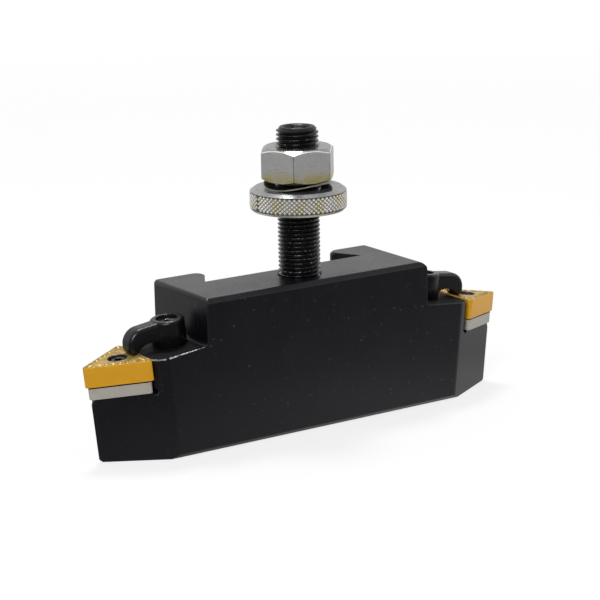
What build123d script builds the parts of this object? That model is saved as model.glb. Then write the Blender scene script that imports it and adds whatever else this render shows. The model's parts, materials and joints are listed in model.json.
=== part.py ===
from build123d import *
from math import cos, radians, sin, sqrt, tan
import os

os.makedirs("parts", exist_ok=True)

# Quick-change turning and facing tool holder, two indexable inserts, height stud and lock nut.
# Millimetres. +X runs along the holder, the plain front face looks to -Y, +Z points up the stud.
# The origin is the centre of the bounding box at the bottom.

# Raised block that carries the dovetail
block_length = 61.4
block_depth = 24.8
block_height = 35.8
top_front_break = 1.0
bottom_front_break = 1.0
left_top_round = 1.0
right_top_round = 2.0
back_corner_break = 0.6

# Dovetail groove in the back of the block
groove_floor = 15.4
groove_mouth_width = 36.2
dovetail_angle = 60.0
lip_thickness = 2.6
lip_round = 2.4

# Wedge-shaped ends that stand out on both sides of the block
nose_length = 10.7
nose_half_angle = 29.0
nose_lean = 0.10
nose_round = 0.35
nose_break_in = 0.8
nose_break_down = 1.6
nose_foot_break = 0.6
shelf_drop = 0.3
shelf_root_round = 1.0

# Insert pocket, tilted so that the cutting corner is its lowest point
shelf_length = 13.6
insert_drop = 11.85
insert_tilt = 6.0
corner_relief = 0.6
wall_edge_break = 1.2
seat_gap = 0.02

# Triangular insert and shim
insert_circle = 9.525
insert_thickness = 4.76
corner_round = 0.8
insert_hole = 3.81
land_width = 0.5
groove_width = 1.5
groove_depth = 0.2
hole_mouth_break = 0.4
shim_circle = 8.9
shim_thickness = 3.0
shim_wall_gap = 0.4
shim_edge_break = 0.25

# Eccentric lock pin
pin_head = 3.4
pin_shank = 4.0
pin_throw = 0.16
pin_depth = 10.0
pin_sunk = 0.35
pin_socket = 1.8
pin_socket_depth = 1.5
pin_contact_gap = 0.02

# Finger clamp
boss_diameter = 8.0
boss_to_block = 0.8
finger_width = 4.4
boss_height = 6.2
finger_end_height = 5.65
finger_reach = 2.4
finger_nose_round = 3.7
pad_length = 1.0
pad_heel = 0.7
arch_height = 1.95
arch_span = 7.2
clamp_edge_round = 1.0
boss_edge_round = 0.7
clamp_lift_gap = 0.02

# Clamp screw
screw_diameter = 4.9
screw_sunk = 0.8
screw_depth = 9.0
screw_socket = 2.5
screw_socket_depth = 2.4
screw_end_break = 0.4

# Height stud, thumb wheel, curved spring washer and lock nut
stud_inset = 9.0
stud_diameter = 9.9
stud_height = 34.9
stud_depth = 25.0
stud_end_break = 0.9
stud_socket = 5.0
stud_socket_depth = 5.5
stud_socket_mouth = 6.7
stud_hole_break = 0.35
wheel_diameter = 22.75
wheel_height = 5.25
wheel_break = 0.55
wheel_below_stud_top = 19.4
washer_outer = 16.0
washer_inner = 10.6
washer_thickness = 0.3
washer_bow = 1.3
washer_turn = 100.0
nut_flats = 16.0
nut_height = 7.9
nut_face = 15.2
nut_chamfer_angle = 30.0
nut_turn = 51.0
thread_countersink = 0.5

# Running clearances
thread_gap = 0.05
bore_gap = 0.05
bottom_gap = 0.1
stack_gap = 0.03

# Places worked out from the sizes above
wheel_overhang = wheel_diameter / 2 - stud_inset
front_y = (wheel_overhang - block_depth) / 2
back_y = front_y + block_depth
mid_y = front_y + stud_inset
half_length = block_length / 2
pocket_wall_x = half_length + shelf_length
nose_reach = pocket_wall_x + nose_length
insert_top_z = block_height - insert_drop
floor_y = front_y + groove_floor
lip_y = back_y - lip_thickness
groove_root_width = groove_mouth_width + 2 * (lip_y - floor_y) / tan(radians(dovetail_angle))
bevel = tan(radians(nose_half_angle))
nose_loss = nose_round / sin(radians(nose_half_angle)) - nose_round
wheel_rest = stud_height - wheel_below_stud_top
wheel_bottom = block_height + wheel_rest
wheel_top = wheel_bottom + wheel_height
washer_bottom = wheel_top + stack_gap
nut_bottom = washer_bottom + washer_bow + washer_thickness + stack_gap
seat_depth = insert_thickness + shim_thickness
insert_centre = insert_circle / 2 + seat_gap
shim_centre = shim_circle / 2 + shim_wall_gap
clamp_screw_back = shelf_length - boss_diameter / 2 - boss_to_block
pin_axis = insert_centre - (insert_hole / 2 - pin_head / 2 - pin_contact_gap - pin_throw)
beyond = 2 * nose_reach


def end_point(side, along, up):
    """World x and z of a point in the tilted frame of one end, measured from the pocket wall."""
    tilt = radians(insert_tilt)
    x = side * (pocket_wall_x + along * cos(tilt) + up * sin(tilt))
    z = insert_top_z - along * sin(tilt) + up * cos(tilt)
    return x, z


def end_plane(side, along=0.0, up=0.0):
    """Plane parallel to the insert's top: its x runs out to the cutting corner, its z away from the seat."""
    tilt = radians(insert_tilt)
    x, z = end_point(side, along, up)
    return Plane(
        origin=(x, mid_y, z),
        x_dir=(side * cos(tilt), 0, -sin(tilt)),
        z_dir=(side * sin(tilt), 0, cos(tilt)),
    )


def side_plane(side):
    """Upright plane through the middle of one end: its x runs outwards and its y up, both tilted."""
    tilt = radians(insert_tilt)
    x, z = end_point(side, 0, 0)
    return Plane(
        origin=(x, mid_y, z),
        x_dir=(side * cos(tilt), 0, -sin(tilt)),
        z_dir=(0, -side, 0),
    )


# Holder body: one milled block with a dovetail at its back and an insert pocket at each end
with BuildPart() as holder_body:
    with BuildSketch(Plane.XY):
        with Locations((0, front_y)):
            Rectangle(block_length, block_depth, align=(Align.CENTER, Align.MIN))
        root = groove_root_width / 2
        mouth = groove_mouth_width / 2
        with BuildLine():
            Polyline(
                (-root, floor_y),
                (root, floor_y),
                (mouth, lip_y),
                (mouth, back_y),
                (-mouth, back_y),
                (-mouth, lip_y),
                close=True,
            )
        make_face(mode=Mode.SUBTRACT)
        lip_corners = vertices().filter_by(lambda v: abs(abs(v.X) - mouth) < 0.01 and v.Y > back_y - 0.01)
        fillet(lip_corners, radius=lip_round)
    extrude(amount=block_height)
    top_ends = holder_body.edges().filter_by(Axis.Y).group_by(Axis.Z)[-1].sort_by(Axis.X)
    fillet(top_ends[0], radius=left_top_round)
    fillet(top_ends[-1], radius=right_top_round)
    back_corners = holder_body.edges().filter_by(Axis.Z).group_by(Axis.Y)[-1].sort_by(Axis.X)
    chamfer([back_corners[0], back_corners[-1]], length=back_corner_break)

    # The ends are sheared prisms, so that the noses give clearance below the cutting corners
    for side in (-1, 1):
        inner = groove_root_width / 2 + 1
        bevel_at_block = mid_y + (nose_reach - half_length + 1) * bevel
        with BuildSketch(Plane.XY):
            with BuildLine():
                Polyline(
                    (side * inner, front_y),
                    (side * (nose_reach - stud_inset / bevel), front_y),
                    (side * nose_reach, mid_y),
                    (side * (half_length - 1), bevel_at_block),
                    (side * inner, bevel_at_block),
                    close=True,
                )
            make_face()
            fillet(vertices().sort_by(Axis.X)[-1 if side > 0 else 0], radius=nose_round)
        extrude(amount=insert_top_z + half_length * tan(radians(insert_tilt)), dir=(side * nose_lean, 0, 1))

    for side in (-1, 1):
        # Space above the sloping shelf, rounded where the shelf meets the block
        rise = tan(radians(insert_tilt))
        _, shelf_at_wall = end_point(side, 0, -shelf_drop)
        shelf_root = shelf_at_wall + (pocket_wall_x - half_length) * rise
        with BuildSketch(Plane.XZ):
            with BuildLine():
                Polyline(
                    (side * half_length, shelf_root),
                    (side * half_length, 2 * block_height),
                    (side * beyond, 2 * block_height),
                    (side * beyond, shelf_root - (beyond - half_length) * rise),
                    close=True,
                )
            make_face()
            corner = vertices().group_by(Axis.X)[0 if side > 0 else -1].sort_by(Axis.Y)[0]
            fillet(corner, radius=shelf_root_round)
        extrude(amount=beyond, both=True, mode=Mode.SUBTRACT)

        # Insert pocket with a round relief groove in its corner
        with BuildSketch(side_plane(side)):
            with Locations((0, -seat_depth)):
                Rectangle(beyond, 2 * seat_depth, align=(Align.MIN, Align.MIN))
                Circle(corner_relief)
        extrude(amount=beyond, both=True, mode=Mode.SUBTRACT)

        # Broken edge at the front of the pocket wall, clear of the insert's corner
        wall_y = (nose_reach + nose_lean * insert_top_z - pocket_wall_x) * -bevel
        with BuildSketch(end_plane(side, 0, -seat_depth)):
            with BuildLine():
                Polyline(
                    (-wall_edge_break, side * (wall_y - wall_edge_break * bevel)),
                    (-wall_edge_break, side * (wall_y - stud_inset)),
                    (wall_edge_break, side * (wall_y - stud_inset)),
                    (wall_edge_break, side * (wall_y + wall_edge_break)),
                    (0, side * (wall_y + wall_edge_break)),
                    close=True,
                )
            make_face()
        extrude(amount=2 * seat_depth, mode=Mode.SUBTRACT)

        # Steep flat at the top of the nose, under the shim's corner
        leant = nose_lean * (insert_top_z - seat_depth)
        seat_end = nose_length - nose_loss + leant + seat_depth * sin(radians(insert_tilt))
        with BuildSketch(side_plane(side)):
            with BuildLine():
                Polyline(
                    (seat_end - nose_break_in, -seat_depth),
                    (seat_end + nose_break_in, -seat_depth - 2 * nose_break_down),
                    (seat_end + nose_break_in, -seat_depth),
                    close=True,
                )
            make_face()
        extrude(amount=beyond, both=True, mode=Mode.SUBTRACT)

        # Broken corner at the foot of the nose
        foot = nose_reach - nose_loss
        with BuildSketch(Plane.XZ):
            with BuildLine():
                Polyline(
                    (side * (foot - nose_foot_break), 0),
                    (side * (foot + nose_foot_break), 2 * nose_foot_break),
                    (side * (foot + nose_foot_break), 0),
                    close=True,
                )
            make_face()
        extrude(amount=beyond, both=True, mode=Mode.SUBTRACT)

        # Bore for the lock pin and tapped hole for the clamp screw
        with BuildSketch(end_plane(side, pin_axis, -seat_depth)):
            Circle(pin_shank / 2 + bore_gap)
        extrude(amount=-(pin_depth + bottom_gap), mode=Mode.SUBTRACT)
        with BuildSketch(end_plane(side, -clamp_screw_back, 0)):
            Circle(screw_diameter / 2 + thread_gap)
        extrude(amount=-(shelf_drop + screw_depth + bottom_gap), mode=Mode.SUBTRACT)

    # Broken front edges, top and bottom, right along the front face
    for z, step in ((0, bottom_front_break), (block_height, -top_front_break)):
        with BuildSketch(Plane.YZ):
            with BuildLine():
                Polyline((front_y, z), (front_y + abs(step), z), (front_y, z + step), close=True)
            make_face()
        extrude(amount=beyond, both=True, mode=Mode.SUBTRACT)

    # Tapped hole for the height stud
    stud_hole = stud_diameter / 2 + thread_gap
    with BuildSketch(Plane.XY.offset(block_height)):
        with Locations((0, mid_y)):
            Circle(stud_hole)
    extrude(amount=-(stud_depth + bottom_gap), mode=Mode.SUBTRACT)
    with Locations(Plane.XY.offset(block_height)):
        with Locations((0, mid_y)):
            Cone(
                stud_hole,
                stud_hole + stud_hole_break,
                stud_hole_break,
                align=(Align.CENTER, Align.CENTER, Align.MAX),
                mode=Mode.SUBTRACT,
            )
holder_body.part.label = "holder_body"
export_step(holder_body.part, "parts/holder_body.step")

# Height stud: a long set screw with a hexagon socket in its upper end
with BuildPart() as height_stud:
    with BuildSketch(Plane.XY.offset(block_height - stud_depth)):
        with Locations((0, mid_y)):
            Circle(stud_diameter / 2)
    extrude(amount=stud_depth + stud_height)
    rims = height_stud.edges().filter_by(GeomType.CIRCLE).sort_by(Axis.Z)
    chamfer([rims[0], rims[-1]], length=stud_end_break)
    with BuildSketch(Plane.XY.offset(block_height + stud_height)):
        with Locations((0, mid_y)):
            RegularPolygon(stud_socket / 2, side_count=6, major_radius=False, rotation=nut_turn)
    extrude(amount=-stud_socket_depth, mode=Mode.SUBTRACT)
    with Locations((0, mid_y, block_height + stud_height)):
        Cone(
            stud_socket / 2,
            stud_socket_mouth / 2,
            (stud_socket_mouth - stud_socket) / 2,
            align=(Align.CENTER, Align.CENTER, Align.MAX),
            mode=Mode.SUBTRACT,
        )
height_stud.part.label = "height_stud"
export_step(height_stud.part, "parts/height_stud.step")

# Thumb wheel that sets the cutting height
with BuildPart() as thumb_wheel:
    with BuildSketch(Plane.XY.offset(wheel_bottom)):
        with Locations((0, mid_y)):
            Circle(wheel_diameter / 2)
            Circle(stud_hole, mode=Mode.SUBTRACT)
    extrude(amount=wheel_height)
    wheel_rims = thumb_wheel.edges().filter_by(GeomType.CIRCLE).sort_by(SortBy.RADIUS)
    chamfer(wheel_rims[-2:], length=wheel_break)
    chamfer(wheel_rims[:2], length=thread_countersink)
thumb_wheel.part.label = "thumb_wheel"
export_step(thumb_wheel.part, "parts/thumb_wheel.step")

# Curved spring washer, bent about one line and pressed between wheel and nut
with BuildPart() as spring_washer:
    half = washer_outer / 2
    bow_plane = Plane(
        origin=(0, mid_y, washer_bottom),
        x_dir=(cos(radians(washer_turn)), sin(radians(washer_turn)), 0),
        z_dir=(sin(radians(washer_turn)), -cos(radians(washer_turn)), 0),
    )
    with BuildSketch(bow_plane):
        with BuildLine():
            lower = ThreePointArc((-half, washer_bow), (0, 0), (half, washer_bow))
            upper = ThreePointArc(
                (half, washer_bow + washer_thickness), (0, washer_thickness), (-half, washer_bow + washer_thickness)
            )
            Line(lower @ 1, upper @ 0)
            Line(upper @ 1, lower @ 0)
        make_face()
    extrude(amount=washer_outer, both=True)
    with BuildSketch(Plane.XY.offset(washer_bottom)):
        with Locations((0, mid_y)):
            Circle(washer_outer / 2)
            Circle(washer_inner / 2, mode=Mode.SUBTRACT)
    extrude(amount=washer_bow + washer_thickness, mode=Mode.INTERSECT)
spring_washer.part.label = "spring_washer"
export_step(spring_washer.part, "parts/spring_washer.step")

# Lock nut, chamfered on both faces
with BuildPart() as lock_nut:
    with BuildSketch(Plane.XY.offset(nut_bottom)):
        with Locations((0, mid_y)):
            RegularPolygon(nut_flats / 2, side_count=6, major_radius=False, rotation=nut_turn)
    extrude(amount=nut_height)
    corner_radius = nut_flats / sqrt(3)
    corner_drop = (corner_radius - nut_face / 2) * tan(radians(nut_chamfer_angle))
    with BuildSketch(Plane(origin=(0, mid_y, nut_bottom), x_dir=(1, 0, 0), z_dir=(0, -1, 0))):
        with BuildLine():
            Polyline(
                (0, 0),
                (nut_face / 2, 0),
                (corner_radius, corner_drop),
                (corner_radius, nut_height - corner_drop),
                (nut_face / 2, nut_height),
                (0, nut_height),
                close=True,
            )
        make_face()
    revolve(axis=Axis((0, mid_y, nut_bottom), (0, 0, 1)), mode=Mode.INTERSECT)
    with Locations((0, mid_y, nut_bottom)):
        Cylinder(stud_hole, nut_height, align=(Align.CENTER, Align.CENTER, Align.MIN), mode=Mode.SUBTRACT)
    nut_bore = lock_nut.edges().filter_by(GeomType.CIRCLE).sort_by(SortBy.RADIUS)
    chamfer(nut_bore[:2], length=thread_countersink)
lock_nut.part.label = "lock_nut"
export_step(lock_nut.part, "parts/lock_nut.step")

# Pieces that come once at each end
for side, word in ((-1, "left"), (1, "right")):
    # Insert with three cutting corners and a chip groove round both faces
    with BuildPart() as insert:
        with BuildSketch(end_plane(side, insert_centre, -insert_thickness)):
            RegularPolygon(insert_circle, side_count=3)
            fillet(vertices(), radius=corner_round)
            Circle(insert_hole / 2, mode=Mode.SUBTRACT)
        extrude(amount=insert_thickness)
        for up, depth in ((0, -groove_depth), (-insert_thickness, groove_depth)):
            with BuildSketch(end_plane(side, insert_centre, up)):
                RegularPolygon(insert_circle - 2 * land_width, side_count=3)
                fillet(vertices(), radius=corner_round)
                RegularPolygon(
                    insert_circle - 2 * (land_width + groove_width), side_count=3, mode=Mode.SUBTRACT
                )
            extrude(amount=depth, mode=Mode.SUBTRACT)
        hole_rims = insert.edges().filter_by(GeomType.CIRCLE).filter_by(
            lambda e: abs(e.radius - insert_hole / 2) < 0.01
        )
        chamfer(hole_rims, length=hole_mouth_break)
    insert.part.label = f"{word}_insert"
    export_step(insert.part, f"parts/{word}_insert.step")

    # Carbide shim under the insert, slightly smaller so that only the insert cuts
    with BuildPart() as shim:
        with BuildSketch(end_plane(side, shim_centre, -seat_depth)):
            RegularPolygon(shim_circle, side_count=3)
            fillet(vertices(), radius=corner_round)
            with Locations((pin_axis - shim_centre, 0)):
                Circle(pin_shank / 2 + bore_gap, mode=Mode.SUBTRACT)
        extrude(amount=shim_thickness)
        upwards = Axis(end_plane(side).origin, end_plane(side).z_dir)
        chamfer(shim.faces().sort_by(upwards)[-1].outer_wire().edges(), length=shim_edge_break)
    shim.part.label = f"{word}_shim"
    export_step(shim.part, f"parts/{word}_shim.step")

    # Lock pin: its eccentric head draws the insert against the pocket wall when it is turned
    with BuildPart() as lock_pin:
        with BuildSketch(end_plane(side, pin_axis, -seat_depth - pin_depth)):
            Circle(pin_shank / 2)
        extrude(amount=pin_depth + shim_thickness - seat_gap)
        with BuildSketch(end_plane(side, pin_axis - pin_throw, -pin_sunk)):
            Circle(pin_head / 2)
        extrude(amount=-(insert_thickness - pin_sunk + 2 * seat_gap))
        with BuildSketch(end_plane(side, pin_axis - pin_throw, -pin_sunk)):
            RegularPolygon(pin_socket / 2, side_count=6, major_radius=False)
        extrude(amount=-pin_socket_depth, mode=Mode.SUBTRACT)
    lock_pin.part.label = f"{word}_lock_pin"
    export_step(lock_pin.part, f"parts/{word}_lock_pin.step")

    # Finger clamp: a round boss for the screw and an arched finger with a rounded nose
    boss_foot = clamp_lift_gap - shelf_drop
    boss_top = boss_foot + boss_height
    with BuildPart() as clamp:
        with BuildSketch(side_plane(side)):
            with BuildLine():
                pad_end = finger_reach - pad_heel
                pad_start = pad_end - pad_length
                arch_end = pad_start - arch_span
                foot = Line((-clamp_screw_back, boss_foot), (arch_end, boss_foot))
                arch = ThreePointArc(
                    foot @ 1, ((arch_end + pad_start) / 2, arch_height), (pad_start, clamp_lift_gap)
                )
                pad = Line(arch @ 1, (pad_end, clamp_lift_gap))
                heel = ThreePointArc(
                    pad @ 1, (finger_reach - pad_heel * 0.25, clamp_lift_gap + pad_heel), (finger_reach, 2 * pad_heel)
                )
                end = Line(heel @ 1, (finger_reach, finger_end_height - finger_nose_round))
                nose = RadiusArc(
                    end @ 1, (finger_reach - finger_nose_round, finger_end_height), -finger_nose_round
                )
                top = Line(nose @ 1, (-clamp_screw_back, boss_top))
                Line(top @ 1, foot @ 0)
            make_face()
        extrude(amount=finger_width / 2, both=True)
        outwards = Axis(end_plane(side).origin, end_plane(side).x_dir)
        upwards = Axis(end_plane(side).origin, end_plane(side).z_dir)
        for flank in (clamp.faces().sort_by(Axis.Y)[0], clamp.faces().sort_by(Axis.Y)[-1]):
            nose_edges = flank.edges().sort_by(outwards)[-3:]
            top_edge = flank.edges().sort_by(upwards)[-1:]
            fillet(nose_edges + top_edge, radius=clamp_edge_round)
        with BuildSketch(side_plane(side)):
            with Locations((-clamp_screw_back, boss_foot)):
                Rectangle(boss_diameter / 2, boss_height, align=(Align.MIN, Align.MIN))
            rim = vertices().group_by(Axis.Y)[-1].sort_by(Axis.X)[-1]
            fillet(rim, radius=boss_edge_round)
        screw_plane = end_plane(side, -clamp_screw_back, boss_foot)
        revolve(axis=Axis(screw_plane.origin, screw_plane.z_dir))
        with BuildSketch(screw_plane):
            Circle(screw_diameter / 2 + bore_gap)
        extrude(amount=2 * boss_height, mode=Mode.SUBTRACT)
    clamp.part.label = f"{word}_clamp"
    export_step(clamp.part, f"parts/{word}_clamp.step")

    # Clamp screw with a hexagon socket
    with BuildPart() as clamp_screw:
        with BuildSketch(end_plane(side, -clamp_screw_back, -shelf_drop - screw_depth)):
            Circle(screw_diameter / 2)
        extrude(amount=screw_depth + shelf_drop + boss_top - screw_sunk)
        ends = clamp_screw.edges().filter_by(GeomType.CIRCLE)
        chamfer(ends, length=screw_end_break)
        with BuildSketch(end_plane(side, -clamp_screw_back, boss_top - screw_sunk)):
            RegularPolygon(screw_socket / 2, side_count=6, major_radius=False)
        extrude(amount=-screw_socket_depth, mode=Mode.SUBTRACT)
    clamp_screw.part.label = f"{word}_clamp_screw"
    export_step(clamp_screw.part, f"parts/{word}_clamp_screw.step")
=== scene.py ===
import json
from math import atan2, cos, pi, radians, sin, sqrt, tan

import bmesh
import bpy
from mathutils import Matrix, Vector

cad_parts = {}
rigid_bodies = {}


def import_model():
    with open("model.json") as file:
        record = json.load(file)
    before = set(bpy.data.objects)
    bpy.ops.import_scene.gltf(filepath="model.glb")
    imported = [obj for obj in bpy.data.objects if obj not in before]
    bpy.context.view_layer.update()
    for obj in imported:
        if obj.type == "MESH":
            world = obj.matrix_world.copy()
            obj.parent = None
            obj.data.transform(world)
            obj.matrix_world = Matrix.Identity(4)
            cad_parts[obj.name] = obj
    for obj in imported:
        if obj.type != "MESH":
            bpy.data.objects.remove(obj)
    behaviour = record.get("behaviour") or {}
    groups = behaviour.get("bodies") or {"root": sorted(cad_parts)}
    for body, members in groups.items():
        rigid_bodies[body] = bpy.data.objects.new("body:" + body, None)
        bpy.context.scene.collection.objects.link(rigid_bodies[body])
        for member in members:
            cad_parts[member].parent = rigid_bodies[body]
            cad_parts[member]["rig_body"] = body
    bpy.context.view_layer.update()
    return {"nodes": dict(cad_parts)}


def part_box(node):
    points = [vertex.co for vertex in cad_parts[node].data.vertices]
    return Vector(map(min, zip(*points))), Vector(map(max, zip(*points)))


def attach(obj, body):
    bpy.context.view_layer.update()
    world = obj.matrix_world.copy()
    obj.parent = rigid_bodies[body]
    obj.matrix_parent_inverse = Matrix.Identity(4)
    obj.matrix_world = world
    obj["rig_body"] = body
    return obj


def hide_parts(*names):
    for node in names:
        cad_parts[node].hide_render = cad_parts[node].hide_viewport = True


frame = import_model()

# Lengths are in millimetres up to the point where a piece is put in the scene.
MM = 0.001

# Sizes that the solids also have
mid_y = -2.2125            # plane of the stud, the nut and both inserts
pocket_wall_x = 44.3       # where an insert's upper face meets its pocket wall
insert_top_z = 23.95
insert_tilt = 6.0
insert_circle = 9.525
insert_thickness = 4.76
insert_gap = 0.02
corner_round = 0.8
insert_hole = 3.81
stud_pitch = 1.0
stud_socket = 5.0
stud_socket_mouth = 6.7
bore = 5.0                 # radius of the wheel's and the nut's bores
bore_break = 0.5
nut_flats = 16.0
nut_turn = 51.0
shelf_slope = tan(radians(insert_tilt))

# Points of one mesh that lie this close together are the same point
weld = 1e-4
seam_weld = 1e-3


def box_mm(node):
    """Lowest and highest corner of a solid, in millimetres."""
    low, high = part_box(node)
    return low / MM, high / MM


def object_coords(tree, stretch=(1, 1, 1), turn=(0, 0, 0)):
    """Object coordinates in millimetres, stretched so that a pattern runs along one way."""
    where = tree.nodes.new("ShaderNodeTexCoord")
    mapping = tree.nodes.new("ShaderNodeMapping")
    mapping.inputs["Scale"].default_value = [s / MM for s in stretch]
    mapping.inputs["Rotation"].default_value = [radians(t) for t in turn]
    tree.links.new(where.outputs["Object"], mapping.inputs["Vector"])
    return mapping.outputs["Vector"]


def grain(tree, coords, scale, detail=4.0, roughness=0.55, distortion=0.0):
    """Fine or broad noise over a finish, as a factor from 0 to 1."""
    noise = tree.nodes.new("ShaderNodeTexNoise")
    noise.inputs["Scale"].default_value = scale
    noise.inputs["Detail"].default_value = detail
    noise.inputs["Roughness"].default_value = roughness
    noise.inputs["Distortion"].default_value = distortion
    tree.links.new(coords, noise.inputs["Vector"])
    return noise.outputs["Fac"]


def ramp(tree, factor, stops):
    """Colour ramp: stops are (position, grey or colour)."""
    node = tree.nodes.new("ShaderNodeValToRGB")
    tree.links.new(factor, node.inputs["Fac"])
    while len(node.color_ramp.elements) < len(stops):
        node.color_ramp.elements.new(0.5)
    for element, (position, colour) in zip(node.color_ramp.elements, stops):
        element.position = position
        element.color = (*colour, 1) if isinstance(colour, tuple) else (colour, colour, colour, 1)
    return node.outputs["Color"]


def blend_colours(tree, factor, first, second):
    """Mixes two colours, each a socket or a plain colour, by a factor socket."""
    node = tree.nodes.new("ShaderNodeMix")
    node.data_type = "RGBA"
    tree.links.new(factor, node.inputs["Factor"])
    for name, colour in (("A", first), ("B", second)):
        socket = [s for s in node.inputs if s.name == name and s.type == "RGBA"][0]
        if isinstance(colour, tuple):
            socket.default_value = (*colour, 1)
        else:
            tree.links.new(colour, socket)
    return [s for s in node.outputs if s.type == "RGBA"][0]


def sums(tree, operation, first, second):
    """A Math node on sockets or plain numbers."""
    node = tree.nodes.new("ShaderNodeMath")
    node.operation = operation
    for i, value in enumerate((first, second)):
        if isinstance(value, (int, float)):
            node.inputs[i].default_value = value
        else:
            tree.links.new(value, node.inputs[i])
    return node.outputs[0]


def between(tree, value, low, high, first, last):
    """Maps a socket's range onto another, kept inside it."""
    node = tree.nodes.new("ShaderNodeMapRange")
    node.inputs["From Min"].default_value = low
    node.inputs["From Max"].default_value = high
    node.inputs["To Min"].default_value = first
    node.inputs["To Max"].default_value = last
    tree.links.new(value, node.inputs["Value"])
    return node.outputs["Result"]


def new_finish(name):
    """An empty material with its Principled shader."""
    material = bpy.data.materials.new(name)
    material.use_nodes = True
    tree = material.node_tree
    shader = tree.nodes["Principled BSDF"]
    return material, tree, shader


def bump(tree, shader, height, strength, distance):
    """Fine relief from a height socket, distance in millimetres."""
    node = tree.nodes.new("ShaderNodeBump")
    node.inputs["Strength"].default_value = strength
    node.inputs["Distance"].default_value = distance * MM
    tree.links.new(height, node.inputs["Height"])
    tree.links.new(node.outputs["Normal"], shader.inputs["Normal"])


def blackened_steel():
    """Black oxide on milled steel, oiled: the block and its ends."""
    material, tree, shader = new_finish("blackened_steel")
    plain = object_coords(tree)
    clouds = grain(tree, plain, 0.09, 3.0, 0.6)
    fine = grain(tree, plain, 1.6, 5.0, 0.65)
    milling = grain(tree, object_coords(tree, stretch=(1.0, 1.0, 0.03)), 1.1, 3.0, 0.6)
    specks = ramp(tree, grain(tree, plain, 1.1, 2.0, 0.5), [(0.0, 0.0), (0.705, 0.0), (0.74, 1.0)])
    base = blend_colours(tree, clouds, (0.0024, 0.0022, 0.0038), (0.0056, 0.0051, 0.0088))
    dusty = blend_colours(tree, specks, base, (0.040, 0.039, 0.041))
    tree.links.new(dusty, shader.inputs["Base Color"])
    mottled = sums(tree, "MULTIPLY", sums(tree, "ADD", clouds, milling), 0.5)
    tree.links.new(ramp(tree, mottled, [(0.3, 0.24), (0.7, 0.38)]), shader.inputs["Roughness"])
    shader.inputs["IOR"].default_value = 1.46
    relief = sums(tree, "ADD", sums(tree, "MULTIPLY", fine, 0.35), sums(tree, "MULTIPLY", milling, 0.9))
    bump(tree, shader, relief, 0.20, 0.02)
    return material


def dead_black(name, dark, light):
    """Black finish without oil, dull and powdery, in the given colours: darker than the block on the shelves, as
    painted shade, and lighter on the dovetail flanks that slide on the post, as painted light.
    """
    material, tree, shader = new_finish(name)
    plain = object_coords(tree)
    clouds = grain(tree, plain, 0.5, 4.0, 0.6)
    tree.links.new(blend_colours(tree, clouds, dark, light), shader.inputs["Base Color"])
    tree.links.new(ramp(tree, clouds, [(0.3, 0.55), (0.7, 0.75)]), shader.inputs["Roughness"])
    shader.inputs["IOR"].default_value = 1.25
    bump(tree, shader, grain(tree, plain, 4.0, 4.0, 0.6), 0.3, 0.02)
    return material


def worn_edge(name, start, full):
    """Edges where the black finish is rubbed through to steel in places."""
    material, tree, shader = new_finish(name)
    plain = object_coords(tree)
    patches = grain(tree, plain, 0.45, 4.0, 0.7)
    nicks = grain(tree, plain, 3.5, 3.0, 0.6)
    wear = ramp(tree, sums(tree, "MULTIPLY", patches, nicks), [(start, 0.0), (full, 1.0)])
    colour = blend_colours(tree, wear, (0.008, 0.008, 0.010), (0.62, 0.61, 0.60))
    tree.links.new(colour, shader.inputs["Base Color"])
    tree.links.new(sums(tree, "MULTIPLY", wear, 0.45), shader.inputs["Metallic"])
    tree.links.new(ramp(tree, nicks, [(0.3, 0.26), (0.7, 0.42)]), shader.inputs["Roughness"])
    bump(tree, shader, nicks, 0.3, 0.02)
    return material


def oiled_black(name, low, high, depth, ior=1.5):
    """Glossier black oxide, as on the clamps, screws, pins and the stud's end."""
    material, tree, shader = new_finish(name)
    plain = object_coords(tree)
    clouds = grain(tree, plain, 0.35, 3.0, 0.6)
    fine = grain(tree, plain, 3.0, 4.0, 0.6)
    colour = blend_colours(tree, clouds, (0.0020, 0.0020, 0.0026), (0.0048, 0.0046, 0.0054))
    tree.links.new(colour, shader.inputs["Base Color"])
    tree.links.new(ramp(tree, fine, [(0.3, low), (0.7, high)]), shader.inputs["Roughness"])
    shader.inputs["IOR"].default_value = ior
    bump(tree, shader, fine, 0.15, depth)
    return material


def thread_finish(crest):
    """Oiled black thread whose crests are rubbed to steel in places."""
    material, tree, shader = new_finish("thread_black")
    plain = object_coords(tree)
    clouds = grain(tree, plain, 0.35, 3.0, 0.6)
    fine = grain(tree, plain, 1.6, 4.0, 0.7)
    high = between(tree, axis_reach(tree), (crest - 0.16) * MM, (crest - 0.03) * MM, 0.0, 1.0)
    rubbed = sums(tree, "MULTIPLY", high, ramp(tree, fine, [(0.56, 0.0), (0.70, 1.0)]))
    colour = blend_colours(tree, clouds, (0.0020, 0.0020, 0.0026), (0.0048, 0.0046, 0.0054))
    tree.links.new(blend_colours(tree, rubbed, colour, (0.30, 0.30, 0.31)), shader.inputs["Base Color"])
    tree.links.new(sums(tree, "MULTIPLY", rubbed, 0.6), shader.inputs["Metallic"])
    tree.links.new(ramp(tree, fine, [(0.3, 0.14), (0.7, 0.26)]), shader.inputs["Roughness"])
    shader.inputs["IOR"].default_value = 1.5
    bump(tree, shader, fine, 0.2, 0.01)
    return material


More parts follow.
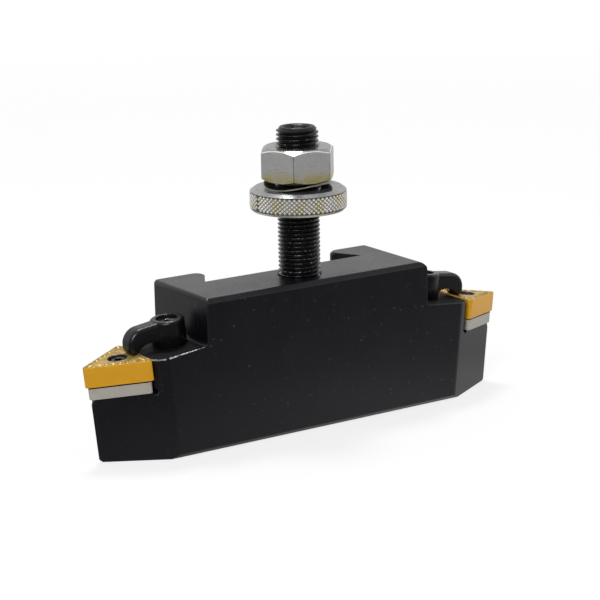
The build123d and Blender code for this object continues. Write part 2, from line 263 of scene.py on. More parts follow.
def zinc_plate(name, stain, stain_low, stain_high):
    """Zinc plate with yellow passivate left in places, more of it between two heights."""
    material, tree, shader = new_finish(name)
    plain = object_coords(tree)
    clouds = grain(tree, plain, 0.5, 4.0, 0.6)
    turning = grain(tree, object_coords(tree, stretch=(0.25, 0.25, 3.0)), 1.2, 3.0, 0.6)
    silver = blend_colours(tree, clouds, (0.46, 0.46, 0.455), (0.56, 0.56, 0.555))
    where = tree.nodes.new("ShaderNodeTexCoord")
    split = tree.nodes.new("ShaderNodeSeparateXYZ")
    tree.links.new(where.outputs["Object"], split.inputs["Vector"])
    level = between(tree, split.outputs["Z"], stain_high * MM, stain_low * MM, 0.0, 1.0)
    patches = grain(tree, plain, 0.42, 4.0, 0.6)
    amount = sums(tree, "MULTIPLY", ramp(tree, patches, [(0.34, 0.0), (0.52, 1.0)]), level)
    amount = sums(tree, "MULTIPLY", amount, stain)
    colour = blend_colours(tree, amount, silver, (0.50, 0.41, 0.12))
    tree.links.new(colour, shader.inputs["Base Color"])
    shader.inputs["Metallic"].default_value = 0.55
    tree.links.new(ramp(tree, turning, [(0.25, 0.24), (0.75, 0.38)]), shader.inputs["Roughness"])
    bump(tree, shader, turning, 0.15, 0.015)
    return material


def turned_zinc(name, dark, light, metallic, low, high):
    """Zinc smudged with oil, in the given colours: greyer on lathe-turned faces and darker on the end faces as painted
    shade; also the nut's painted dark reflection along its corners and painted highlight along its upper edges.
    """
    material, tree, shader = new_finish(name)
    plain = object_coords(tree)
    smudges = grain(tree, plain, 0.30, 4.0, 0.65)
    fine = grain(tree, plain, 3.0, 4.0, 0.6)
    colour = blend_colours(tree, ramp(tree, smudges, [(0.35, 0.0), (0.65, 1.0)]), dark, light)
    tree.links.new(colour, shader.inputs["Base Color"])
    shader.inputs["Metallic"].default_value = metallic
    tree.links.new(ramp(tree, fine, [(0.3, low), (0.7, high)]), shader.inputs["Roughness"])
    shader.inputs["IOR"].default_value = 1.3
    bump(tree, shader, fine, 0.15, 0.015)
    return material


def washer_finish(reach_out):
    """Spring steel: blackened faces, outer edge rubbed bright."""
    material, tree, shader = new_finish("spring_steel")
    plain = object_coords(tree)
    reach = axis_reach(tree)
    fine = grain(tree, plain, 2.0, 3.0, 0.6)
    rim = between(tree, reach, (reach_out - 0.12) * MM, (reach_out - 0.04) * MM, 0.0, 1.0)
    rubbed = blend_colours(tree, grain(tree, plain, 0.5, 3.0, 0.6), (0.05, 0.05, 0.05), (0.70, 0.68, 0.60))
    tree.links.new(blend_colours(tree, rim, (0.010, 0.010, 0.010), rubbed), shader.inputs["Base Color"])
    tree.links.new(sums(tree, "MULTIPLY", rim, 0.5), shader.inputs["Metallic"])
    tree.links.new(ramp(tree, fine, [(0.3, 0.25), (0.7, 0.45)]), shader.inputs["Roughness"])
    shader.inputs["IOR"].default_value = 1.3
    bump(tree, shader, fine, 0.2, 0.01)
    return material


def axis_reach(tree):
    """Distance from the stud's axis."""
    where = tree.nodes.new("ShaderNodeTexCoord")
    centred = tree.nodes.new("ShaderNodeVectorMath")
    centred.operation = "SUBTRACT"
    centred.inputs[1].default_value = (0, mid_y * MM, 0)
    tree.links.new(where.outputs["Object"], centred.inputs[0])
    flat = tree.nodes.new("ShaderNodeVectorMath")
    flat.operation = "MULTIPLY"
    flat.inputs[1].default_value = (1, 1, 0)
    tree.links.new(centred.outputs["Vector"], flat.inputs[0])
    reach = tree.nodes.new("ShaderNodeVectorMath")
    reach.operation = "LENGTH"
    tree.links.new(flat.outputs["Vector"], reach.inputs[0])
    return reach.outputs["Value"]


def knurl_zinc(radius, groove):
    """Zinc on the knurl: bright worn tips, a darker colour and traces of yellow down in the grooves."""
    material, tree, shader = new_finish("knurl_zinc")
    plain = object_coords(tree)
    high = between(tree, axis_reach(tree), (radius - groove) * MM, (radius - 0.02) * MM, 0.0, 1.0)
    patches = grain(tree, plain, 0.30, 3.0, 0.6)
    stained = blend_colours(
        tree, ramp(tree, patches, [(0.46, 0.0), (0.60, 1.0)]), (0.72, 0.72, 0.70), (0.66, 0.58, 0.34)
    )
    # Darker colour down in the grooves
    groove_colour = blend_colours(tree, patches, (0.10, 0.095, 0.08), (0.19, 0.16, 0.10))
    colour = blend_colours(tree, ramp(tree, high, [(0.0, 0.0), (0.5, 1.0)]), groove_colour, stained)
    tip = blend_colours(tree, ramp(tree, high, [(0.72, 0.0), (0.98, 1.0)]), colour, (0.95, 0.95, 0.93))
    tree.links.new(tip, shader.inputs["Base Color"])
    shader.inputs["Metallic"].default_value = 0.55
    fine = grain(tree, plain, 4.0, 3.0, 0.6)
    tree.links.new(ramp(tree, fine, [(0.3, 0.24), (0.7, 0.40)]), shader.inputs["Roughness"])
    bump(tree, shader, fine, 0.2, 0.02)
    return material


def gold_coating():
    """Gold nitride coating on the cutting inserts, a little uneven from grinding."""
    material, tree, shader = new_finish("gold_coating")
    plain = object_coords(tree)
    clouds = grain(tree, plain, 0.5, 3.0, 0.6)
    fine = grain(tree, plain, 6.0, 4.0, 0.6)
    grinding = grain(tree, object_coords(tree, stretch=(0.5, 0.5, 5.0), turn=(0, 6, 0)), 1.5, 3.0, 0.6)
    colour = blend_colours(tree, clouds, (0.72, 0.345, 0.010), (0.80, 0.400, 0.020))
    tree.links.new(colour, shader.inputs["Base Color"])
    shader.inputs["Metallic"].default_value = 0.35
    rough = sums(tree, "MULTIPLY", sums(tree, "ADD", fine, grinding), 0.5)
    tree.links.new(ramp(tree, rough, [(0.3, 0.26), (0.7, 0.40)]), shader.inputs["Roughness"])
    bump(tree, shader, rough, 0.2, 0.01)
    return material


def pressed_gold():
    """The inserts' top and bottom: pressed, not ground, so the coating is duller and blotched."""
    material, tree, shader = new_finish("pressed_gold")
    plain = object_coords(tree)
    blotches = grain(tree, plain, 0.9, 4.0, 0.7)
    fine = grain(tree, plain, 5.0, 4.0, 0.6)
    patch = ramp(tree, blotches, [(0.38, 0.0), (0.60, 1.0)])
    colour = blend_colours(tree, patch, (0.25, 0.160, 0.046), (0.56, 0.370, 0.100))
    tree.links.new(colour, shader.inputs["Base Color"])
    shader.inputs["Metallic"].default_value = 0.30
    tree.links.new(ramp(tree, fine, [(0.3, 0.26), (0.7, 0.46)]), shader.inputs["Roughness"])
    shader.inputs["IOR"].default_value = 1.3
    bump(tree, shader, blotches, 0.3, 0.08)
    return material


def ground_carbide():
    """Plain ground carbide of the shims."""
    material, tree, shader = new_finish("ground_carbide")
    plain = object_coords(tree)
    clouds = grain(tree, plain, 0.6, 3.0, 0.6)
    grinding = grain(tree, object_coords(tree, stretch=(0.4, 0.4, 4.0)), 2.0, 3.0, 0.6)
    colour = blend_colours(tree, clouds, (0.42, 0.395, 0.345), (0.50, 0.475, 0.42))
    tree.links.new(colour, shader.inputs["Base Color"])
    shader.inputs["Metallic"].default_value = 0.35
    tree.links.new(ramp(tree, grinding, [(0.25, 0.32), (0.75, 0.46)]), shader.inputs["Roughness"])
    bump(tree, shader, grinding, 0.2, 0.01)
    return material


black = blackened_steel()
dull_edge = worn_edge("dull_edge", 0.40, 0.62)
rubbed_edge = worn_edge("rubbed_edge", 0.18, 0.27)
socket_edge = worn_edge("socket_edge", 0.22, 0.30)
pin_edge = worn_edge("pin_edge", 0.27, 0.35)
# The shelves' black is darker than the block's: painted shade from the clamps, over a real matt finish
shaded_shelf_black = dead_black("shaded_shelf_black", (0.0015, 0.0015, 0.0022), (0.0045, 0.0045, 0.0060))
# The dovetail flanks' colour is raised well above the block's black: painted light
lightened_flank_black = dead_black("lightened_flank_black", (0.018, 0.018, 0.019), (0.040, 0.040, 0.040))
stud_end_black = oiled_black("stud_end_black", 0.32, 0.46, 0.015, 1.4)
clamp_black = oiled_black("clamp_black", 0.22, 0.34, 0.012, 1.48)
glossy_black = oiled_black("glossy_black", 0.14, 0.24, 0.008)
stud_box = box_mm("height_stud")
thread_black = thread_finish((stud_box[1].x - stud_box[0].x) / 2)
pin_black = oiled_black("pin_black", 0.10, 0.18, 0.004)
# Black used as painted shade: down the inserts' holes and along the gap at the shims' tops
painted_shade_black = oiled_black("painted_shade_black", 0.35, 0.50, 0.010, 1.3)
nut_box = box_mm("lock_nut")
wheel_box = box_mm("thumb_wheel")
wheel_radius = (wheel_box[1].x - wheel_box[0].x) / 2
knurl_groove = 0.32
washer_box = box_mm("spring_washer")
nut_zinc = zinc_plate("nut_zinc", 1.0, nut_box[0].z + 0.6, nut_box[0].z + 3.4)
# Zinc of the turned end faces: the oil smudges are real, and the darker colour than the flats is painted shade
oiled_shaded_zinc = turned_zinc("oiled_shaded_zinc", (0.20, 0.20, 0.195), (0.30, 0.30, 0.29), 0.8, 0.16, 0.24)
cone_zinc = turned_zinc("cone_zinc", (0.34, 0.34, 0.34), (0.44, 0.44, 0.43), 0.8, 0.13, 0.20)
rim_zinc = turned_zinc("rim_zinc", (0.34, 0.35, 0.36), (0.46, 0.47, 0.48), 0.8, 0.28, 0.38)
# Nearly black zinc on the nut's rounded corners: a painted dark reflection
dark_reflection_zinc = turned_zinc("dark_reflection_zinc", (0.05, 0.05, 0.05), (0.34, 0.34, 0.33), 0.3, 0.3, 0.45)
# Near-white strip along the nut's upper arcs: a painted highlight
painted_highlight_zinc = turned_zinc("painted_highlight_zinc", (0.88, 0.88, 0.87), (0.95, 0.95, 0.94), 0.2, 0.25, 0.40)
wheel_zinc = zinc_plate("wheel_zinc", 0.35, wheel_box[0].z - 12, wheel_box[1].z)
spring_steel = washer_finish((washer_box[1].x - washer_box[0].x) / 2)
knurled_zinc = knurl_zinc(wheel_radius, knurl_groove)
gold = gold_coating()
gold_face = pressed_gold()
carbide = ground_carbide()


def finish_piece(bm, name, body, finishes, node, place=None, sharp=35.0, flat_above=None):
    """Puts a mesh in the scene as the piece that stands for a solid.

    Edges sharper than the given angle, and the borders of faces above the given area, stay sharp.
    """
    if place is not None:
        bmesh.ops.transform(bm, matrix=place, verts=bm.verts)
    bmesh.ops.remove_doubles(bm, verts=bm.verts, dist=weld)
    bmesh.ops.recalc_face_normals(bm, faces=bm.faces)
    for face in bm.faces:
        face.smooth = True
    for edge in bm.edges:
        edge.smooth = len(edge.link_faces) == 2 and edge.calc_face_angle(0) < radians(sharp)
        if flat_above and max(f.calc_area() for f in edge.link_faces) > flat_above:
            edge.smooth = False
    bmesh.ops.scale(bm, vec=(MM, MM, MM), verts=bm.verts)
    mesh = bpy.data.meshes.new(name)
    bm.to_mesh(mesh)
    bm.free()
    piece = bpy.data.objects.new(name, mesh)
    bpy.context.scene.collection.objects.link(piece)
    for material in finishes:
        mesh.materials.append(material)
    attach(piece, body)
    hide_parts(node)
    return piece


def merged_copy(node):
    """The solid's mesh in millimetres, merged and freed of the edges inside its flat faces."""
    solid_weld = 0.002
    flat_within = radians(0.6)
    bm = bmesh.new()
    bm.from_mesh(frame["nodes"][node].data)
    bmesh.ops.scale(bm, vec=(1 / MM, 1 / MM, 1 / MM), verts=bm.verts)
    bmesh.ops.remove_doubles(bm, verts=bm.verts, dist=solid_weld)
    bmesh.ops.dissolve_limit(
        bm, angle_limit=flat_within, use_dissolve_boundaries=False, verts=bm.verts, edges=bm.edges, delimit=set()
    )
    for face in bm.faces:
        face.material_index = 0
    return bm


def round_edges(bm, edges, width, segments, material=-1):
    """Rounds some edges of a mesh."""
    bmesh.ops.bevel(
        bm,
        geom=edges,
        offset=width,
        offset_type="OFFSET",
        segments=segments,
        profile=0.5,
        affect="EDGES",
        clamp_overlap=False,
        material=material,
        loop_slide=True,
    )


def outward_edges(bm, low, high=181):
    """Outward edges whose two faces meet at an angle between the two given, in degrees."""
    bm.normal_update()
    return [
        e for e in bm.edges if len(e.link_faces) == 2 and radians(low) < e.calc_face_angle_signed(0) < radians(high)
    ]


def direction(edge):
    """Unit vector along an edge."""
    return (edge.verts[0].co - edge.verts[1].co).normalized()


def softened(node, name, finishes, width, material=-1):
    """A black steel copy of a solid with its sharp edges rounded slightly."""
    bm = merged_copy(node)
    round_edges(bm, outward_edges(bm, 25), width, 2, material)
    return finish_piece(bm, name, frame["nodes"][node]["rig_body"], finishes, node, flat_above=3.0)


def milled_body():
    """The block and its ends: blunt edges well rounded, the others just broken, one shelf edge rubbed bright."""
    blunt_round = 0.45
    shelf_round = 0.32
    edge_break = 0.14
    sharp_tip = 1.5
    finishes = [black, dull_edge, rubbed_edge, shaded_shelf_black, lightened_flank_black]
    plain, broken, rubbed, shelf, lit_flank = range(len(finishes))
    bm = merged_copy("holder_body")
    upright = [e for e in outward_edges(bm, 20, 40) if abs(direction(e).z) > 0.9 and e.calc_length() > 5]
    round_edges(bm, upright, blunt_round, 3)
    front_y = min(v.co.y for v in bm.verts)

    def below_insert_top(point):
        return insert_top_z - shelf_slope * (abs(point.x) - pocket_wall_x) - point.z

    def on_left_shelf(vert):
        return vert.co.x < 0 and abs(below_insert_top(vert.co)) < 1.2 and vert.co.y < mid_y - 4

    shelf_edges = [e for e in outward_edges(bm, 40) if on_left_shelf(e.verts[0]) and on_left_shelf(e.verts[1])]
    long_ones = [e for e in shelf_edges if min(v.co.y for v in e.verts) < front_y + 3 and e.calc_length() > 1]
    round_edges(bm, long_ones, shelf_round, 3, rubbed)
    tip_x = max(v.co.x for v in bm.verts) - sharp_tip
    others = [
        e
        for e in outward_edges(bm, 25)
        if all(f.material_index != rubbed for f in e.link_faces) and all(abs(v.co.x) < tip_x for v in e.verts)
    ]
    round_edges(bm, others, edge_break, 2, broken)
    for face in (f for f in bm.faces if f.material_index == plain):
        centre = face.calc_center_median()
        # The shelves take the darker black as painted shade
        if face.normal.z > 0.98 and 0.2 < below_insert_top(centre) < 0.4:
            face.material_index = shelf
        # The dovetail flanks take the lighter black as painted light
        flank = 0.8 < abs(face.normal.x) < 0.9 and 0.4 < abs(face.normal.y) < 0.6
        if flank and centre.y > 4.3 and abs(centre.x) < 24:
            face.material_index = lit_flank
    return finish_piece(bm, "milled_body", "holder", finishes, "holder_body", flat_above=6.0)


def spun(profile, steps):
    """Turns a closed outline of (radius, height) points round the stud's axis."""
    bm = bmesh.new()
    ring = [bm.verts.new((r, 0, z)) for r, z in profile]
    edges = [bm.edges.new((ring[i], ring[(i + 1) % len(ring)])) for i in range(len(ring))]
    bmesh.ops.spin(
        bm, geom=ring + edges, cent=(0, 0, 0), axis=(0, 0, 1), angle=2 * pi, steps=steps, use_merge=True
    )
    bmesh.ops.remove_doubles(bm, verts=bm.verts, dist=weld)
    return bm


def cut_flat(bm, point, normal):
    """Cuts everything beyond a plane away and closes the cut."""
    cut = bmesh.ops.bisect_plane(
        bm, geom=bm.verts[:] + bm.edges[:] + bm.faces[:], dist=1e-5, plane_co=point, plane_no=normal, clear_outer=True
    )
    rim = [e for e in cut["geom_cut"] if isinstance(e, bmesh.types.BMEdge)]
    bmesh.ops.contextual_create(bm, geom=rim)


def carve(bm, tool):
    """Takes the tool's shape out of a mesh and returns the result as a new bmesh."""
    objects = []
    for mesh_data in (bm, tool):
        bmesh.ops.recalc_face_normals(mesh_data, faces=mesh_data.faces)
        mesh = bpy.data.meshes.new("work")
        mesh_data.to_mesh(mesh)
        mesh_data.free()
        made = bpy.data.objects.new("work", mesh)
        bpy.context.scene.collection.objects.link(made)
        objects.append(made)
    modifier = objects[0].modifiers.new("carve", "BOOLEAN")
    modifier.operation = "DIFFERENCE"
    modifier.solver = "EXACT"
    modifier.object = objects[1]
    graph = bpy.context.evaluated_depsgraph_get()
    graph.update()
    result = bmesh.new()
    result.from_object(objects[0], graph)
    for made in objects:
        mesh = made.data
        bpy.data.objects.remove(made)
        bpy.data.meshes.remove(mesh)
    return result


def threaded_stud():
    """The height stud with its helical thread, chamfered ends and a hexagon socket."""
    low, high = box_mm("height_stud")
    crest = (high.x - low.x) / 2
    root = crest - 0.6 * stud_pitch
    chamfer = 0.9
    steps = 48
    spare_turns = 4
    turns = int((high.z - low.z) / stud_pitch) + spare_turns
    # One pitch of the thread's outline, as (radius, share of the pitch)
    outline = (
        (root, 0.0),
        (root, 0.22),
        (crest - 0.04, 0.50),
        (crest, 0.56),
        (crest, 0.66),
        (crest - 0.04, 0.72),
        (root, 1.0),
    )
    bm = bmesh.new()
    start = low.z - spare_turns / 2 * stud_pitch
    line = [bm.verts.new((radius, 0, start + share * stud_pitch)) for radius, share in outline]
    edges = [bm.edges.new(pair) for pair in zip(line, line[1:])]
    bmesh.ops.spin(
        bm,
        geom=line + edges,
        cent=(0, 0, 0),
        axis=(0, 0, 1),
        dvec=(0, 0, stud_pitch / steps),
        angle=2 * pi * turns,
        steps=steps * turns,
        use_merge=False,
    )
    bmesh.ops.remove_doubles(bm, verts=bm.verts, dist=weld)
    for vert in bm.verts:
        reach = sqrt(vert.co.x ** 2 + vert.co.y ** 2)
        limit = crest - chamfer + min(vert.co.z - low.z, high.z - vert.co.z)
        limit = max(limit, crest - chamfer - 0.3)
        if reach > limit:
            vert.co.x *= limit / reach
            vert.co.y *= limit / reach
    cut_flat(bm, (0, 0, low.z), (0, 0, -1))
    cut_flat(bm, (0, 0, high.z), (0, 0, 1))
    bmesh.ops.recalc_face_normals(bm, faces=bm.faces)

    # The socket with its countersunk mouth is cut out of the upper end
    corner = stud_socket / sqrt(3)
    tool = bmesh.new()
    bmesh.ops.create_cone(tool, cap_ends=True, segments=6, radius1=corner, radius2=corner, depth=11.0)
    bmesh.ops.rotate(tool, cent=(0, 0, 0), matrix=Matrix.Rotation(radians(nut_turn), 3, "Z"), verts=tool.verts)
    bmesh.ops.translate(tool, vec=(0, 0, high.z), verts=tool.verts)
    mouth = bmesh.new()
    above = 0.5
    wide = stud_socket_mouth / 2 + above
    narrow = stud_socket / 2 - 0.2
    bmesh.ops.create_cone(mouth, cap_ends=True, segments=64, radius1=narrow, radius2=wide, depth=wide - narrow)
    bmesh.ops.translate(mouth, vec=(0, 0, high.z + above - (wide - narrow) / 2), verts=mouth.verts)
    carved = carve(carve(bm, tool), mouth)
    for face in carved.faces:
        middle = face.calc_center_median()
        if middle.z > high.z - 0.02 or sqrt(middle.x ** 2 + middle.y ** 2) < stud_socket_mouth / 2 + 0.05:
            face.material_index = 1
    finishes = [thread_black, stud_end_black]
    place = Matrix.Translation((0, mid_y, 0))
    return finish_piece(
        carved, "threaded_stud", "holder", finishes, "height_stud", place, sharp=50.0
    )


def knurled_wheel():
    """Thumb wheel with a diamond knurl between two smooth chamfers."""
    low, high = box_mm("thumb_wheel")
    middle = (low.z + high.z) / 2
    radius = wheel_radius
    edge_break = 0.55
    cone_width = 1.1
    cone_drop = 0.75
    around = 62
    rows = 4
    finishes = [wheel_zinc, knurled_zinc, rim_zinc, oiled_shaded_zinc]
    plain, knurl, cone, end = range(len(finishes))
    band_low = low.z + edge_break
    band_high = high.z - cone_drop

    # The knurl is laid out flat, as a grid turned into diamonds, and then rolled up
    bm = bmesh.new()
    bmesh.ops.create_grid(bm, x_segments=around, y_segments=rows, size=0.5)
    bmesh.ops.scale(bm, vec=(2 * pi * radius, band_high - band_low, 1), verts=bm.verts)
    straight = [e for e in bm.edges if len(e.link_faces) == 2]
    bmesh.ops.poke(bm, faces=bm.faces)
    bmesh.ops.dissolve_edges(bm, edges=straight, use_verts=False)
    diamonds = [f for f in bm.faces if len(f.verts) == 4]
    bmesh.ops.inset_individual(bm, faces=diamonds, thickness=0.25, depth=0.0, use_even_offset=True)
    raised = {v for f in diamonds for v in f.verts}
    for vert in bm.verts:
        reach = radius - (0 if vert in raised else knurl_groove)
        turn = vert.co.x / radius
        vert.co = (reach * cos(turn), reach * sin(turn), vert.co.y + (band_low + band_high) / 2)
    bmesh.ops.remove_doubles(bm, verts=bm.verts, dist=seam_weld)
    for face in bm.faces:
        face.material_index = knurl

    # From the knurl's two rims, ring by ring to the bore, as (radius, height, finish)
    rim = [e for e in bm.edges if len(e.link_faces) == 1]
    upper = (
        (radius - 0.10, band_high + 0.04, cone),
        (radius - cone_width, high.z, cone),
        (bore + bore_break, high.z, end),
        (bore, high.z - bore_break, end),
    )
    lower = (
        (radius - 0.12, band_low - 0.02, plain),
        (radius - edge_break, low.z, plain),
        (bore + bore_break, low.z, end),
        (bore, low.z + bore_break, end),
    )
    last = []
    for is_upper, rings in ((True, upper), (False, lower)):
        edges = [e for e in rim if (e.verts[0].co.z > middle) == is_upper]
        for reach, z, index in rings:
            made = bmesh.ops.extrude_edge_only(bm, edges=edges)["geom"]
            for face in (g for g in made if isinstance(g, bmesh.types.BMFace)):
                face.material_index = index
            edges = [g for g in made if isinstance(g, bmesh.types.BMEdge)]
            for vert in {v for e in edges for v in e.verts}:
                now = sqrt(vert.co.x ** 2 + vert.co.y ** 2)
                vert.co = (vert.co.x * reach / now, vert.co.y * reach / now, z)
        last += edges
    for face in bmesh.ops.bridge_loops(bm, edges=last)["faces"]:
        face.material_index = plain
    place = Matrix.Translation((0, mid_y, 0))
    return finish_piece(
        bm, "knurled_wheel", "wheel", finishes, "thumb_wheel", place, sharp=24.0
    )


def hexagon_nut():
    """Lock nut: a turned blank with both faces chamfered, cut to six flats."""
    low, high = box_mm("lock_nut")
    face_radius = 15.2 / 2
    corner = nut_flats / sqrt(3)
    spare = 0.05
    wide = corner + spare
    fall = (corner - face_radius) * tan(radians(30)) + spare * tan(radians(30))
    finishes = [nut_zinc, oiled_shaded_zinc, cone_zinc, dark_reflection_zinc, painted_highlight_zinc]
    flat, end, cone, rounded, highlight_edge = range(len(finishes))
    profile = [
        (bore, low.z + bore_break),
        (bore + bore_break, low.z),
        (face_radius, low.z),
        (wide, low.z + fall),
        (wide, high.z - fall),
        (face_radius, high.z),
        (bore + bore_break, high.z),
        (bore, high.z - bore_break),
    ]
    bm = spun(profile, 144)
    for k in range(6):
        turn = radians(nut_turn + 30 + 60 * k)
        side = Vector((cos(turn), sin(turn), 0))
        cut_flat(bm, side * (nut_flats / 2), side)
    bmesh.ops.recalc_face_normals(bm, faces=bm.faces)
    corners = [e for e in outward_edges(bm, 40) if abs(direction(e).z) > 0.95]
    # End faces take the darker zinc as painted shade
    for face in bm.faces:
        if abs(face.normal.z) > 0.95:
            face.material_index = end
        elif abs(face.normal.z) > 0.3:
            face.material_index = cone
    # The rounded corners take the painted dark reflection
    round_edges(bm, corners, 0.16, 2, rounded)
    # The upper arcs between flats and chamfer take the painted highlight
    arcs = [
        e
        for e in bm.edges
        if {f.material_index for f in e.link_faces} == {flat, cone} and e.verts[0].co.z > high.z - 3
    ]
    round_edges(bm, arcs, 0.11, 2, highlight_edge)
    place = Matrix.Translation((0, mid_y, 0))
    return finish_piece(bm, "hexagon_nut", "nut", finishes, "lock_nut", place, sharp=12.0)


def tilted_place(side, along, up):
    """Matrix that puts a piece in the tilted frame of one end, measured from the pocket wall."""
    tilt = radians(insert_tilt)
    x = side * (pocket_wall_x + along * cos(tilt) + up * sin(tilt))
    z = insert_top_z - along * sin(tilt) + up * cos(tilt)
    out = Vector((side * cos(tilt), 0, -sin(tilt)))
    normal = Vector((side * sin(tilt), 0, cos(tilt)))
    across = normal.cross(out)
    place = Matrix((out, across, normal)).transposed().to_4x4()
    place.translation = (x, mid_y, z)
    return place


def insert_outline(bm):
    """One rounded triangle with a corner on +x, its long edges cut into short steps."""
    bmesh.ops.create_circle(bm, segments=3, radius=insert_circle, cap_ends=True)
    tip = max(bm.verts, key=lambda v: v.co.x * 100 + v.co.y)
    bmesh.ops.rotate(bm, cent=(0, 0, 0), matrix=Matrix.Rotation(-atan2(tip.co.y, tip.co.x), 3, "Z"), verts=bm.verts)
    cut_back = corner_round / tan(radians(30))
    bmesh.ops.bevel(
        bm,
        geom=bm.verts[:],
        offset=cut_back,
        segments=6,
        profile=0.5,
        affect="VERTICES",
        material=-1,
        clamp_overlap=True,
    )
    long_edges = [e for e in bm.edges if e.calc_length() > 5]
    bmesh.ops.subdivide_edges(bm, edges=long_edges, cuts=55)


def along_edge(co):
    """Distance of a point along the triangle's nearest edge, from the middle of that edge."""
    nearest = max((radians(60 + 120 * k) for k in range(3)), key=lambda a: co.x * cos(a) + co.y * sin(a))
    return co.y * cos(nearest) - co.x * sin(nearest)


def cutting_insert(word, side):
    """Triangular insert with rounded corners, narrow lands and a scalloped chip groove on both faces."""
    inner_circle = insert_circle / 2
    half = insert_thickness / 2
    scallop_pitch = 2.15
    scallop_height = 0.13
    finishes = [gold, gold_face, painted_shade_black]
    pressed, hole = 1, 2
    bm = bmesh.new()
    insert_outline(bm)
    bm.faces.ensure_lookup_table()
    cap = bm.faces[0]
    # The chip groove from the cutting edge inwards, as (inset, height, share of the scallops)
    groove = (
        (0.00, -0.11, 0.0),
        (0.03, -0.03, 0.0),
        (0.09, 0.0, 0.0),
        (0.26, 0.0, 0.0),
        (0.36, -0.06, 0.4),
        (0.52, -0.15, 1.0),
        (0.74, -0.20, 1.3),
        (0.98, -0.19, 1.3),
        (1.22, -0.10, 1.0),
        (1.45, -0.03, 0.5),
        (1.70, 0.0, 0.1),
        (1.95, 0.0, 0.0),
    )
    # The raised middle and the hole's countersink, as (radius, height, finish); the hole's faces are black as painted
    # shade
    rings = (
        (2.55, 0.03, pressed),
        (2.36, 0.0, pressed),
        (2.26, -0.05, hole),
        (1.96, -0.36, hole),
        (insert_hole / 2, -0.44, hole),
        (insert_hole / 2, -half, hole),
    )
    plan = [v.co.xy.copy() for v in cap.verts]
    for v in cap.verts:
        v.co.z = -half

    def next_ring(index):
        for face in bmesh.ops.inset_individual(bm, faces=[cap], thickness=0.0, depth=0.0)["faces"]:
            face.material_index = index

    for inset, height, wave in groove:
        next_ring(pressed if inset > 0.08 else 0)
        for v, flat in zip(cap.verts, plan):
            share = 1 - inset / inner_circle
            swell = scallop_height * wave * cos(2 * pi * along_edge(flat) / scallop_pitch)
            v.co = (flat.x * share, flat.y * share, height + swell)
    for reach, height, index in rings:
        next_ring(index)
        for v, flat in zip(cap.verts, plan):
            out = flat.normalized() * reach
            v.co = (out.x, out.y, height)
    bmesh.ops.delete(bm, geom=[cap], context="FACES_ONLY")
    bmesh.ops.translate(bm, vec=(0, 0, half), verts=bm.verts)
    bmesh.ops.mirror(bm, geom=bm.verts[:] + bm.edges[:] + bm.faces[:], matrix=Matrix(), merge_dist=seam_weld, axis="Z")
    bmesh.ops.translate(bm, vec=(inner_circle + insert_gap, 0, -half), verts=bm.verts)
    place = tilted_place(side, 0, 0)
    return finish_piece(
        bm, word + "_cutting_insert", "holder", finishes, word + "_insert", place, sharp=32.0
    )


def carbide_shim(word, side):
    """Shim with its edges just broken and a black band along its top, under the insert, as painted shade in the gap.
    """
    seam_height = 0.36
    bm = merged_copy(word + "_shim")
    round_edges(bm, outward_edges(bm, 60), 0.12, 2)
    seam = tilted_place(side, 0, -insert_thickness - seam_height)
    up = seam.col[2].xyz
    bmesh.ops.bisect_plane(
        bm, geom=bm.verts[:] + bm.edges[:] + bm.faces[:], dist=1e-4, plane_co=seam.translation, plane_no=up
    )
    # Faces above the seam plane take the black as painted shade of the gap under the insert
    for face in bm.faces:
        if (face.calc_center_median() - seam.translation).dot(up) > 0.01:
            face.material_index = 1
    return finish_piece(
        bm, word + "_carbide_shim", "holder", [carbide, painted_shade_black], word + "_shim", flat_above=3.0
    )


def dress(node, finish):
    """Puts a finish on a solid that is shown as it is."""
    materials = frame["nodes"][node].data.materials
    materials.clear()
    materials.append(finish)


def make_pieces():
    """Every piece of the holder."""
    milled_body()
    threaded_stud()
    knurled_wheel()
    hexagon_nut()
    for word, side in (("left", -1), ("right", 1)):
        softened(word + "_clamp", word + "_finger_clamp", [clamp_black], 0.10)
        softened(word + "_clamp_screw", word + "_socket_screw", [glossy_black, socket_edge], 0.12, material=1)
        softened(word + "_lock_pin", word + "_eccentric_pin", [pin_black, pin_edge], 0.12, material=1)
        carbide_shim(word, side)
        cutting_insert(word, side)
    dress("spring_washer", spring_steel)


make_pieces()


def towards_light(tree, where, side):
    """How far a place or direction lies towards the bright side of the room, behind and right of the holder."""
    node = tree.nodes.new("ShaderNodeVectorMath")
    node.operation = "DOT_PRODUCT"
    node.inputs[1].default_value = side
    tree.links.new(where, node.inputs[0])
    return node.outputs["Value"]


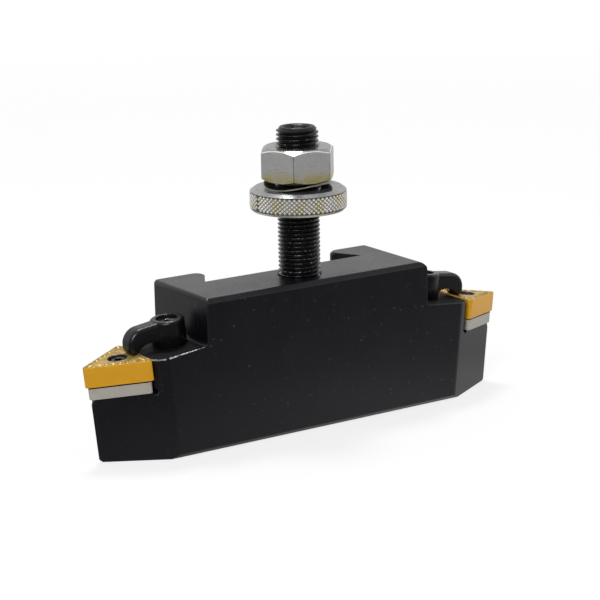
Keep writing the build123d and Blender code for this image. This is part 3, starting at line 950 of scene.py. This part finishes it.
def pale_floor():
    """Floor that the camera sees as white, with the shadow kept, and that the metal mirrors unevenly."""
    bm = bmesh.new()
    bmesh.ops.create_grid(bm, x_segments=1, y_segments=1, size=4.0)
    bmesh.ops.translate(bm, vec=(0, 0, -0.00005), verts=bm.verts)
    mesh = bpy.data.meshes.new("floor")
    bm.to_mesh(mesh)
    bm.free()
    floor = bpy.data.objects.new("floor", mesh)
    bpy.context.scene.collection.objects.link(floor)
    material = bpy.data.materials.new("pale_floor")
    material.use_nodes = True
    tree = material.node_tree
    tree.nodes.clear()
    out = tree.nodes.new("ShaderNodeOutputMaterial")
    matt = tree.nodes.new("ShaderNodeBsdfDiffuse")
    matt.inputs["Color"].default_value = (0.9, 0.9, 0.9, 1)
    glow = tree.nodes.new("ShaderNodeEmission")
    glow.inputs["Color"].default_value = (1, 1, 1, 1)
    path = tree.nodes.new("ShaderNodeLightPath")
    camera_ray = path.outputs["Is Camera Ray"]
    glossy_ray = path.outputs["Is Glossy Ray"]
    where = object_coords(tree)
    away = tree.nodes.new("ShaderNodeVectorMath")
    away.operation = "LENGTH"
    tree.links.new(where, away.inputs[0])

    # What the metal mirrors: brighter behind and right, under the holder, darker in front and left
    mirrored = between(tree, towards_light(tree, where, (0.64, 0.77, 0)), -70, 110, 0.05, 0.68)
    mirrored = sums(tree, "MULTIPLY", mirrored, between(tree, away.outputs["Value"], 35, 75, 2.1, 1.0))
    before = between(tree, towards_light(tree, where, (0, -1, 0)), 50, 130, 1.0, 0.40)
    beside = between(tree, towards_light(tree, where, (-1, 0, 0)), 50, 130, 1.0, 0.60)
    mirrored = sums(tree, "MULTIPLY", sums(tree, "MULTIPLY", mirrored, before), beside)
    strength = sums(tree, "ADD", camera_ray, sums(tree, "MULTIPLY", glossy_ray, mirrored))
    tree.links.new(strength, glow.inputs["Strength"])

    # How much of the floor is glow: near the holder the camera still sees its shadow
    white_share = between(tree, away.outputs["Value"], 150, 700, 0.74, 1.0)
    share = sums(tree, "ADD", sums(tree, "MULTIPLY", camera_ray, white_share), sums(tree, "MULTIPLY", glossy_ray, 0.9))
    mix = tree.nodes.new("ShaderNodeMixShader")
    tree.links.new(share, mix.inputs["Fac"])
    tree.links.new(matt.outputs["BSDF"], mix.inputs[1])
    tree.links.new(glow.outputs["Emission"], mix.inputs[2])
    tree.links.new(mix.outputs["Shader"], out.inputs["Surface"])
    mesh.materials.append(material)


def white_room():
    """World that the camera sees as white and that lights the holder softly, more from behind and right."""
    world = bpy.data.worlds.new("white_room")
    bpy.context.scene.world = world
    world.use_nodes = True
    tree = world.node_tree
    tree.nodes.clear()
    out = tree.nodes.new("ShaderNodeOutputWorld")
    room = tree.nodes.new("ShaderNodeBackground")
    room.inputs["Color"].default_value = (1, 1, 1, 1)
    path = tree.nodes.new("ShaderNodeLightPath")
    seen = sums(tree, "MAXIMUM", path.outputs["Is Camera Ray"], path.outputs["Is Transmission Ray"])
    where = tree.nodes.new("ShaderNodeTexCoord")
    around = between(tree, towards_light(tree, where.outputs["Generated"], (0.5, 0.86, 0)), -1, 1, 0.12, 0.76)
    tree.links.new(sums(tree, "MAXIMUM", seen, around), room.inputs["Strength"])
    tree.links.new(room.outputs["Background"], out.inputs["Surface"])


def softboxes():
    """Three square lamps, aimed at the holder. Places and sizes are in metres, powers in watts."""
    aim_at = Vector((0, 0, 0.03))
    lamps = (
        ("left_softbox", (-0.55, -0.55, 0.60), 0.50, 5.0),
        ("top_softbox", (0.095, 0.256, 0.85), 0.20, 3.6),
        ("right_softbox", (0.70, -0.35, 0.45), 0.35, 0.5),
    )
    for name, where, size, power in lamps:
        lamp = bpy.data.lights.new(name, "AREA")
        lamp.shape = "SQUARE"
        lamp.size = size
        lamp.energy = power
        stand = bpy.data.objects.new(name, lamp)
        bpy.context.scene.collection.objects.link(stand)
        stand.location = where
        stand.rotation_euler = (aim_at - Vector(where)).to_track_quat("-Z", "Y").to_euler()


def photograph_camera():
    """The camera at the photograph's place: its position in millimetres and its three directions."""
    camera_place = Vector((-257.6426, -398.7445, 149.4303))
    right = Vector((0.83596887, -0.54848497, -0.01789669))
    down = Vector((-0.14963616, -0.19644798, -0.969029))
    ahead = Vector((0.52798208, 0.81275607, -0.24629758))
    camera_data = bpy.data.cameras.new("camera")
    camera_data.sensor_width = 36.0
    camera_data.lens = 124.226
    camera_data.clip_end = 20.0
    camera = bpy.data.objects.new("camera", camera_data)
    bpy.context.scene.collection.objects.link(camera)
    turn = Matrix((right, -down, -ahead)).transposed()
    camera.matrix_world = Matrix.Translation(camera_place * MM) @ turn.to_4x4()
    bpy.context.scene.camera = camera


pale_floor()
white_room()
softboxes()
photograph_camera()
bpy.context.scene.view_settings.view_transform = "Standard"
